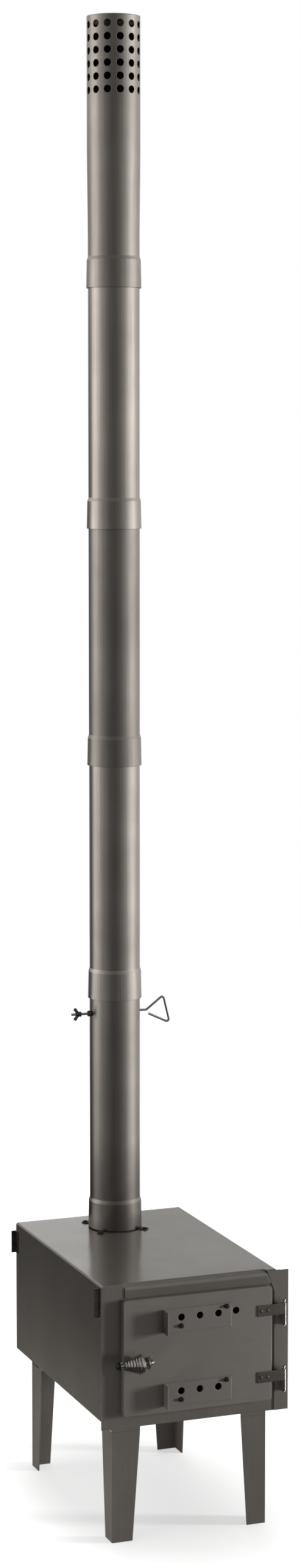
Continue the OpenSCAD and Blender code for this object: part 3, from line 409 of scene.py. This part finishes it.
class StoveStudio(bpy.types.PropertyGroup):
    camera: bpy.props.FloatVectorProperty(
        name="Camera", description="Place of the camera", default=(-1.80058, -4.73018, 1.80515), size=3,
        subtype="XYZ", unit="LENGTH")
    heading: bpy.props.FloatProperty(
        name="Heading", description="How far the camera is turned from looking along +Y",
        default=math.radians(-20.838), subtype="ANGLE", unit="ROTATION")
    tilt: bpy.props.FloatProperty(
        name="Tilt", description="How far the camera looks down", default=math.radians(6.399),
        subtype="ANGLE", unit="ROTATION")
    lens: bpy.props.FloatProperty(
        name="Lens", description="Focal length in mm on a 36 mm sensor", default=69.38, min=10, max=300,
        unit="CAMERA")
    floor: tone_prop("#a8a8a7", "Floor colour")
    key: power_prop(520, "Key lamp", "Power of the tall soft lamp on the right")
    low: power_prop(6, "Low lamp", "Power of the low soft lamp on the left")
    knuckle: power_prop(0.04, "Knuckle lamp", "Power of the small card that the hinges' knuckles gleam in")
    top: power_prop(72, "Top lamp", "Power of the wide lamp overhead")
    paper: power_prop(0.6, "Paper glow", "Power of the brighter patch of paper behind the stove")
    rear: power_prop(45, "Rear lamp", "Power of the wide lamp behind the stove")
    fill: bpy.props.FloatProperty(
        name="Surround", description="Strength of the soft surround", default=0.2, min=0)


class STOVE_OT_body(bpy.types.Operator):
    """Finish the body's sheet steel, its door and its vent slides"""

    bl_idname = "stove.body"
    bl_label = "Body and Door"

    def execute(self, context):
        look = context.scene.stove_body
        # Cold-rolled mild steel, left bare: faint lines along the roll and soft oil clouding
        shell = steel("cold_rolled_steel_shell", look.tone, look.shade, look.roughness, (3.0, 220, 3.0), 80,
                      look.metallic, edge=0.9, edge_mm=1.3, relief_mm=0.006, streak=0.3, sway_mm=0.9)
        cover(shell, "body_shell")
        # The same sheet, cut with its roll upright: upright lines, and duller, its colour a little darker as
        # painted shade
        front = steel("cold_rolled_steel_front", look.frame, look.shade, look.roughness + 0.11, (2.5, 60, 150), 60,
                      look.metallic, edge=0.9, edge_mm=1.1, relief_mm=0.012, streak=0.7, sway_mm=0.6)
        cover(front, "front_panel", "hinge_plate", "floor_panel", "back_panel")
        # Door and slides are stamped from a sheet with its roll lying level: level lines, and a colour a little
        # lighter as painted light for the lamp that falls on them
        stamped = steel("stamped_steel_door", look.door, look.tone, look.roughness + 0.13, (140, 60, 2.2), 45,
                        look.metallic, edge=0.8, relief_mm=0.012, streak=0.8, sway_mm=0.6)
        cover(stamped, "door", "vent_slide_upper", "vent_slide_lower")
        return {"FINISHED"}


class STOVE_OT_legs(bpy.types.Operator):
    """Finish the four legs and their brackets"""

    bl_idname = "stove.legs"
    bl_label = "Legs"

    def execute(self, context):
        look = context.scene.stove_body
        # Folded mild steel strip, roll along the leg: upright lines, a little duller than the body
        # the legs take the front panel's darker colour, as painted shade
        folded = steel("folded_steel_leg", look.frame, look.shade, look.roughness + 0.12, (2.2, 2.2, 120), 50,
                       look.metallic, edge=0.5, relief_mm=0.012)
        for corner in ("front_left", "front_right", "rear_left", "rear_right"):
            cover(folded, f"leg_{corner}", f"leg_bracket_{corner}")
        return {"FINISHED"}


class STOVE_OT_flue(bpy.types.Operator):
    """Finish the flue sections, the arrestor's cap, the collar and the damper's plate"""

    bl_idname = "stove.flue"
    bl_label = "Flue"

    def execute(self, context):
        look = context.scene.stove_flue
        # Stainless sheet rolled into pipe, its seam welded and turned another way on each length: satin, with
        # upright lines that smear its reflections
        for number, duller, lighter in PIPES:
            tone, shade = (tuple(c * lighter for c in colour) for colour in (look.tone, look.shade))
            # the first section is painted darker towards its foot, as painted shade
            pipe = steel(f"rolled_stainless_pipe_{number}", tone, shade, look.roughness + duller, (2.0, 2.0, 260),
                         90, edge=0.2, seam=(math.radians(SEAM_BEARINGS[number]), look.weld),
                         scorch=SCORCH if number == 1 else None)
            cover(pipe, f"flue_section_{number}")
        # The cap is pressed from the same sheet: its lines run straight across
        pressed = steel("pressed_stainless_cap", look.tone, look.shade, look.roughness + 0.04, (2.0, 120, 2.0), 40,
                        edge=0.3)
        cover(pressed, "arrestor_cap")
        # The damper sits in the smoke and the collar on the hot top: heat-browned mild steel, matt and blotchy
        browned = steel("smoke_browned_steel", linear("#4a423b"), linear("#2c2825"), 0.55, (9, 9, 9), 16, 0.6,
                        edge=0.15)
        cover(browned, "damper_plate", "damper_clips", "flue_collar")
        return {"FINISHED"}


class STOVE_OT_welds(bpy.types.Operator):
    """Lay the bead of each flue section's seam weld"""

    bl_idname = "stove.welds"
    bl_label = "Flue Welds"

    def execute(self, context):
        look = context.scene.stove_flue
        # Weld metal, run without filler: duller than the pipe, clouded straw and blue by its own heat
        bead = steel("heat_tinted_weld_bead", linear("#8b8270"), linear("#5a5a62"), 0.34, (3, 3, 3), 11,
                     edge=0.0, edge_mm=0.2, relief_mm=0.01)
        arch = [(math.radians(around), sunk * MM) for around, sunk in BEAD_ARCH]
        step = look.ripple / 2
        for number, bearing in SEAM_BEARINGS.items():
            section = f"flue_section_{number}"
            pipe = NODES[section].data
            walls = BVHTree.FromPolygons([v.co for v in pipe.vertices], [f.vertices for f in pipe.polygons])
            low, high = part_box(section)
            out = Vector((math.cos(math.radians(bearing)), math.sin(math.radians(bearing)), 0.0))
            beside = Vector((-out.y, out.x, 0.0))
            last = number == len(SEAM_BEARINGS)
            start, end = low.z + BEAD_START, high.z - (BEAD_END if last else BEAD_GROUND)
            loops = []
            for i in range(int((end - start) / step) + 1):
                outside = Vector((FLUE_X, FLUE_Y, start + i * step)) + out * OUTSIDE_PIPE
                wall = walls.ray_cast(outside, -out)[0]
                if wall is None:
                    raise RuntimeError(f"the weld of flue section {number} misses its pipe")
                swell = 1.0 if i % 2 else BEAD_TROUGH
                half = look.weld / 2 * (1 - BEAD_PINCH + BEAD_PINCH * swell)
                loops.append([wall + beside * half * math.sin(a) + out * (look.proud * swell * math.cos(a) - sunk)
                              for a, sunk in arch])
            weld = skin(f"flue_weld_{number}", loops)
            weld.data.materials.append(bead)
            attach(weld, f"flue_{number}")
        return {"FINISHED"}


class STOVE_OT_ironwork(bpy.types.Operator):
    """Finish the hinges, their rivets, the side ears, the latch's tongue and the damper's nuts"""

    bl_idname = "stove.ironwork"
    bl_label = "Ironwork"

    def execute(self, context):
        look = context.scene.stove_ironwork
        # Zinc-plated strip, bent round its pins: its flats are as dark as the room they face, and its rolled
        # knuckles catch one clean line of light
        strip = steel("zinc_plated_strip", look.strip, look.strip_shade, look.roughness - 0.03, (40, 12, 3), 14,
                      edge=0.4, streak=0.6)
        cover(strip, "hinge_straps", "hinge_lugs")
        # Hot-rolled steel, its mill scale brushed off: like the body's but darker and less even
        brushed = steel("brushed_hot_rolled_strip", look.tone, look.shade, look.roughness + 0.03, (12, 12, 12), 14,
                        edge=0.5)
        cover(brushed, "strap_rivets", "side_ears", "latch_tongue", "damper_nut", "damper_wing_nut")
        return {"FINISHED"}


class STOVE_OT_hardware(bpy.types.Operator):
    """Finish the screws, bolts, nuts, pins, rods and washers, and cut the damper rod's thread"""

    bl_idname = "stove.hardware"
    bl_label = "Screws, Rods and Nuts"

    def execute(self, context):
        look = context.scene.stove_plating
        # Zinc-plated turned steel: bright, with small cool and warm shifts
        plated = steel("zinc_plated_hardware", look.tone, look.shade, look.roughness, (4, 4, 4), 9,
                       edge=0.3, **SMALL)
        cover(plated, "hinge_pins", "vent_nuts", "latch_grip_washer", "latch_washer", "latch_nut", "tongue_nut",
              "leg_nuts")
        # Drawn rod, plated after its thread is rolled: bright and smooth between its threads
        rod = steel("drawn_plated_damper_rod", look.tone, look.shade, look.roughness + 0.04, (60, 2, 2), 14,
                    edge=0.2, **SMALL)
        cover(rod, "damper_rod")
        # the thread's crest stands proud of the rod, from its end to just outside the pipe
        middle = middle_of("damper_nut")
        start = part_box("damper_rod")[0].x + THREAD_START
        turns = int((FLUE_X - THREAD_STOP - start) / look.pitch)
        crest = []
        for i in range(turns * CREST_STEPS + 1):
            angle = 2 * math.pi * i / CREST_STEPS
            crest.append((start + look.pitch * i / CREST_STEPS, middle.y + CREST_FROM_AXIS * math.cos(angle),
                          middle.z + CREST_FROM_AXIS * math.sin(angle)))
        thread = tube("damper_rod_thread", crest, CREST_RADIUS, CREST_SIDES)
        thread.data.materials.append(rod)
        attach(thread, "damper")
        # Plated bolts with a coarse rolled thread, 1 mm to a turn: bright crests and painted shade in the roots,
        # which show only on the 2 mm that pass their nuts
        bolts = steel("plated_bolt_threaded", look.tone, look.shade, look.roughness + 0.06, (4, 4, 4), 14,
                      edge=0.2, thread=1 * MM, **SMALL)
        cover(bolts, "leg_bolts")
        # Drawn and plated rod: bright and smooth all round
        latch = steel("drawn_plated_rod", look.tone, look.shade, look.roughness - 0.02, (40, 40, 40), 14,
                      edge=0.3, **SMALL)
        cover(latch, "latch_rod")
        # Heat-blackened steel: dark brown-black and smooth, so that only its corners glint, their edges brightened
        # as a painted highlight. The latch's tip nut is dark as painted shade, where the grip's shadow falls.
        black = steel("blackened_screws_and_shaded_tip_nut", look.blackened, tuple(c * 0.6 for c in look.blackened), 0.3,
                      (4, 4, 4), 6, 0.8, edge=0.7, edge_mm=0.35, relief_mm=0.01)
        cover(black, "vent_screws", "collar_screws", "latch_tip_nut")
        return {"FINISHED"}


class STOVE_OT_grip(bpy.types.Operator):
    """Wind the latch's grip from one length of wire"""

    bl_idname = "stove.grip"
    bl_label = "Wound Grip"

    def execute(self, context):
        look, plating = context.scene.stove_grip, context.scene.stove_plating
        run = GRIP_LENGTH - 2 * (look.straight + look.bend)
        if run <= 0:
            raise RuntimeError("the grip's ends leave no room for its curls")
        # how far the wire turns in its first bend and in its last one, and in all
        into, out = look.bend / look.foot, look.bend / look.narrow
        end = into + 2 * math.pi * look.curls + out

        def curl_radius(share):
            if share < look.opening:
                return look.foot + (look.wide - look.foot) * math.sin(math.pi / 2 * share / look.opening)
            return look.wide - (look.wide - look.narrow) * (share - look.opening) / (1 - look.opening)

        # each point is its distance along the rod, how far the wire has turned, and its radius
        bends = [math.pi / 2 * i / BEND_STEPS for i in range(BEND_STEPS + 1)]
        steps = CURL_STEPS * look.curls
        path = [(look.straight * i / STRAIGHT_STEPS, 0.0, look.foot) for i in range(STRAIGHT_STEPS + 1)]
        path += [(look.straight + look.bend * math.sin(b), into * (1 - math.cos(b)), look.foot) for b in bends[1:]]
        path += [(look.straight + look.bend + run * i / steps, into + 2 * math.pi * look.curls * i / steps,
                  curl_radius(i / steps)) for i in range(1, steps)]
        path += [(GRIP_LENGTH - look.straight - look.bend * math.cos(b), end - out * (1 - math.sin(b)),
                  look.narrow) for b in bends]
        path += [(GRIP_LENGTH - look.straight + look.straight * i / STRAIGHT_STEPS, end, look.narrow)
                 for i in range(1, STRAIGHT_STEPS + 1)]
        # the dome on each end stays inside the straight wire's length
        dome = DOME_RISE * look.wire / 2
        path[0], path[-1] = (dome, *path[0][1:]), (GRIP_LENGTH - dome, *path[-1][1:])
        points = [GRIP_FOOT + Vector((-a, r * math.cos(turn), r * math.sin(turn))) for a, turn, r in path]
        grip = tube("latch_grip_wound", points, look.wire / 2)
        # Nickel-plated spring wire: bright and smooth, drawn lines too fine to see
        wire = steel("nickel_plated_spring_wire", plating.tone, plating.shade, 0.17, (6, 6, 6), 12,
                     edge=0.0, edge_mm=0.1, relief_mm=0.005)
        grip.data.materials.append(wire)
        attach(grip, "latch")
        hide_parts("latch_coil_grip")
        return {"FINISHED"}


def lay_floor(look):
    """A round sheet of matt seamless paper: pale, with no shine. Far from the stove it is as white as the
    surround."""
    corners, radius = 96, 6.0
    half_width, half_depth = 0.2, 0.32  # of the stove's print on the floor
    turns = [2 * math.pi * i / corners for i in range(corners)]
    mesh = bpy.data.meshes.new("floor")
    mesh.from_pydata([(radius * math.cos(a), radius * math.sin(a), 0) for a in turns], [], [list(range(corners))])
    floor = bpy.data.objects.new("floor", mesh)
    bpy.context.scene.collection.objects.link(floor)
    floor.visible_glossy = False
    paper = bpy.data.materials.new("matt_paper_floor")
    tree = blank(paper)
    place = add(tree, "ShaderNodeTexCoord").outputs["Object"]
    # how far a spot is from the stove's middle, in prints of the stove
    printed = add(tree, "ShaderNodeVectorMath", {0: place, 1: (1 / half_width, 1 / half_depth, 0.0)},
                  operation="MULTIPLY").outputs[0]
    away = add(tree, "ShaderNodeVectorMath", {0: printed}, operation="LENGTH").outputs["Value"]
    glow = add(tree, "ShaderNodeMapRange", {
        "Value": away, "From Min": 0.5, "From Max": 2.2, "To Min": 0.55, "To Max": 1.0,
    }, interpolation_type="SMOOTHERSTEP").outputs[0]
    seen = add(tree, "ShaderNodeLightPath").outputs["Is Camera Ray"]
    glow = add(tree, "ShaderNodeMath", {0: seen, 1: glow}, operation="MULTIPLY").outputs[0]
    surface = add(tree, "ShaderNodeBsdfPrincipled", {
        "Base Color": rgba(look.floor), "Roughness": 0.9, "Specular IOR Level": 0.1,
        "Emission Color": (1, 1, 1, 1), "Emission Strength": glow})
    add(tree, "ShaderNodeOutputMaterial", {"Surface": surface.outputs[0]})
    mesh.materials.append(paper)


def hang_surround(look):
    """The room that the steel mirrors. White paper stands round the stove's sides and back, brightest at the
    sides. The side where the camera stands is dim, and so are the ceiling and the room's floor. The soft
    light that falls on the stove from it is even, and a look past the stove sees plain white."""
    world = bpy.data.worlds.new("studio")
    bpy.context.scene.world = world
    tree = blank(world)
    way = add(tree, "ShaderNodeTexCoord").outputs["Generated"]
    back = Vector((math.sin(look.heading), -math.cos(look.heading), 0.0))  # from the stove to the camera
    right = Vector((math.cos(look.heading), math.sin(look.heading), 0.0))
    forward = math.radians(7)  # the paper on the right is brightest a little to the front
    lit_right = right * math.cos(forward) + back * math.sin(forward)
    # each row is a direction, the cosines between which the room changes towards it, and its level at both
    level_towards = {
        "camera": (back, 0.0, 1.0, 1.3, 0.14),
        "behind": (-back, 0.1, 0.95, 1.0, 0.55),
        "right": (lit_right, 0.86, 0.99, 1.0, 1.7),
        "left": (-right, 0.86, 0.99, 1.0, 1.5),
        "ceiling": ((0, 0, 1), 0.3, 0.85, 1.0, 0.2),
        "low_level": (right, 0.75, 1.0, 0.05, 0.35),
        "low_starts": (-right, 0.5, 0.9, -0.2, -0.11),
        "gap": ((-0.345, 0.939, 0.0), 0.86, 0.96, 0.0, 1.0),
    }
    part = {}
    for name, (direction, begins, ends, before, after) in level_towards.items():
        cosine = add(tree, "ShaderNodeVectorMath", {0: way, 1: tuple(direction)},
                     operation="DOT_PRODUCT").outputs["Value"]
        part[name] = add(tree, "ShaderNodeMapRange", {
            "Value": cosine, "From Min": begins, "From Max": ends, "To Min": before, "To Max": after,
        }, interpolation_type="LINEAR" if name == "camera" else "SMOOTHSTEP").outputs[0]
    # low down the room's own dark floor takes over from the paper, least on the lit right
    height = add(tree, "ShaderNodeSeparateXYZ", {0: way}).outputs["Z"]
    part["low"] = add(tree, "ShaderNodeMapRange", {
        "Value": height, "From Min": -0.27, "From Max": part["low_starts"],
        "To Min": part["low_level"], "To Max": 1.0}, interpolation_type="SMOOTHSTEP").outputs[0]
    # behind on the left the paper has a gap, and the room is dark up to the horizon
    below = add(tree, "ShaderNodeMapRange", {
        "Value": height, "From Min": -0.04, "From Max": 0.16, "To Min": 0.9, "To Max": 0.0,
    }, interpolation_type="SMOOTHSTEP").outputs[0]
    dark = add(tree, "ShaderNodeMath", {0: part["gap"], 1: below}, operation="MULTIPLY").outputs[0]
    level = add(tree, "ShaderNodeMath", {0: 1.0, 1: dark}, operation="SUBTRACT").outputs[0]
    for name in ("camera", "behind", "right", "left", "ceiling", "low"):
        level = add(tree, "ShaderNodeMath", {0: level, 1: part[name]}, operation="MULTIPLY").outputs[0]
    # what the metal mirrors, what lights the stove, and what is seen past it
    path = add(tree, "ShaderNodeLightPath").outputs
    mirrored = add(tree, "ShaderNodeMath", {0: path["Is Glossy Ray"], 1: path["Is Transmission Ray"]},
                   operation="MAXIMUM").outputs[0]
    lit = add(tree, "ShaderNodeMix", {0: mirrored, 2: look.fill, 3: level}, data_type="FLOAT").outputs[0]
    strength = add(tree, "ShaderNodeMix", {0: path["Is Camera Ray"], 2: lit, 3: 1.0}, data_type="FLOAT").outputs[0]
    sky = add(tree, "ShaderNodeBackground", {"Color": (1, 1, 1, 1), "Strength": strength})
    add(tree, "ShaderNodeOutputWorld", {"Surface": sky.outputs[0]})


def hang_lamps(look):
    """Soft lamps that light the stove. The steel mirrors two of them: a brighter patch of the paper behind,
    and the knuckle card, which lights nothing and only makes the hinges gleam."""
    # each row is a name, a size, a power, a place, what the lamp looks at, and whether the steel mirrors it
    for name, size, power, place, aim, mirrored in (
        ("strip_lamp", (0.58, 1.3), look.key, (4.585, -1.995, 0.7), (0, 0, 0.3), False),
        ("top_lamp", (2.4, 2.4), look.top, (0.9, 0.2, 3.9), (0, 0, 0), False),
        ("paper_lamp", (0.7, 0.6), look.paper, (0.1, 1.55, 0.85), (-0.15, 0.15, 0.43), True),
        ("low_lamp", (1.0, 0.1), look.low, (-0.46, 0.02, 0.02), (0.0, 0.02, 0.08), False),
        ("knuckle_lamp", (0.08, 0.2), look.knuckle, (0.42, -0.358, 0.2), (0.16, -0.208, 0.3), True),
        ("back_lamp", (2.0, 1.4), look.rear, (0.7, 3.2, 1.2), (0.0, 0.2, 0.3), False),
    ):
        lamp = bpy.data.lights.new(name, "AREA")
        lamp.shape, lamp.size, lamp.size_y, lamp.energy = "RECTANGLE", *size, power
        holder = bpy.data.objects.new(name, lamp)
        bpy.context.scene.collection.objects.link(holder)
        holder.location = place
        holder.rotation_euler = (Vector(aim) - Vector(place)).to_track_quat("-Z", "Y").to_euler()
        holder.visible_camera = False
        holder.visible_glossy = mirrored
        if name == "knuckle_lamp":
            holder.visible_diffuse = False
            lamp.spread = math.radians(34)  # so narrow that it reaches the hinges and little else


class STOVE_OT_studio(bpy.types.Operator):
    """Set up the floor, the surround, the lamps and the camera"""

    bl_idname = "stove.studio"
    bl_label = "Studio"

    def execute(self, context):
        scene, look = context.scene, context.scene.stove_studio
        scene.view_settings.view_transform = "Standard"
        lay_floor(look)
        hang_surround(look)
        hang_lamps(look)
        data = bpy.data.cameras.new("camera")
        data.lens, data.sensor_width = look.lens, 36.0
        data.clip_end = 200.0
        camera = bpy.data.objects.new("camera", data)
        scene.collection.objects.link(camera)
        camera.location = look.camera
        camera.rotation_euler = (math.pi / 2 - look.tilt, 0.0, look.heading)
        scene.camera = camera
        return {"FINISHED"}


GROUPS = {
    "stove_body": StoveBodyFinish,
    "stove_flue": StoveFlueFinish,
    "stove_ironwork": StoveIronwork,
    "stove_plating": StovePlating,
    "stove_grip": StoveGrip,
    "stove_studio": StoveStudio,
}
PIECES = (STOVE_OT_body, STOVE_OT_legs, STOVE_OT_flue, STOVE_OT_welds, STOVE_OT_ironwork, STOVE_OT_hardware,
          STOVE_OT_grip, STOVE_OT_studio)


class STOVE_PT_panel(bpy.types.Panel):
    """The stove's pieces and its studio"""

    bl_idname = "STOVE_PT_panel"
    bl_label = "Stove"
    bl_space_type = "VIEW_3D"
    bl_region_type = "UI"
    bl_category = "Stove"

    def draw(self, context):
        for operator in PIECES:
            self.layout.operator(operator.bl_idname)


def register():
    for cls in (*GROUPS.values(), *PIECES, STOVE_PT_panel):
        bpy.utils.register_class(cls)
    for name, group in GROUPS.items():
        setattr(bpy.types.Scene, name, bpy.props.PointerProperty(type=group))


def unregister():
    for name in GROUPS:
        delattr(bpy.types.Scene, name)
    for cls in (STOVE_PT_panel, *reversed(PIECES), *reversed(GROUPS.values())):
        bpy.utils.unregister_class(cls)


def main():
    register()
    bpy.ops.stove.body()
    bpy.ops.stove.legs()
    bpy.ops.stove.flue()
    bpy.ops.stove.welds()
    bpy.ops.stove.ironwork()
    bpy.ops.stove.hardware()
    bpy.ops.stove.grip()
    bpy.ops.stove.studio()


if __name__ == "__main__":
    main()
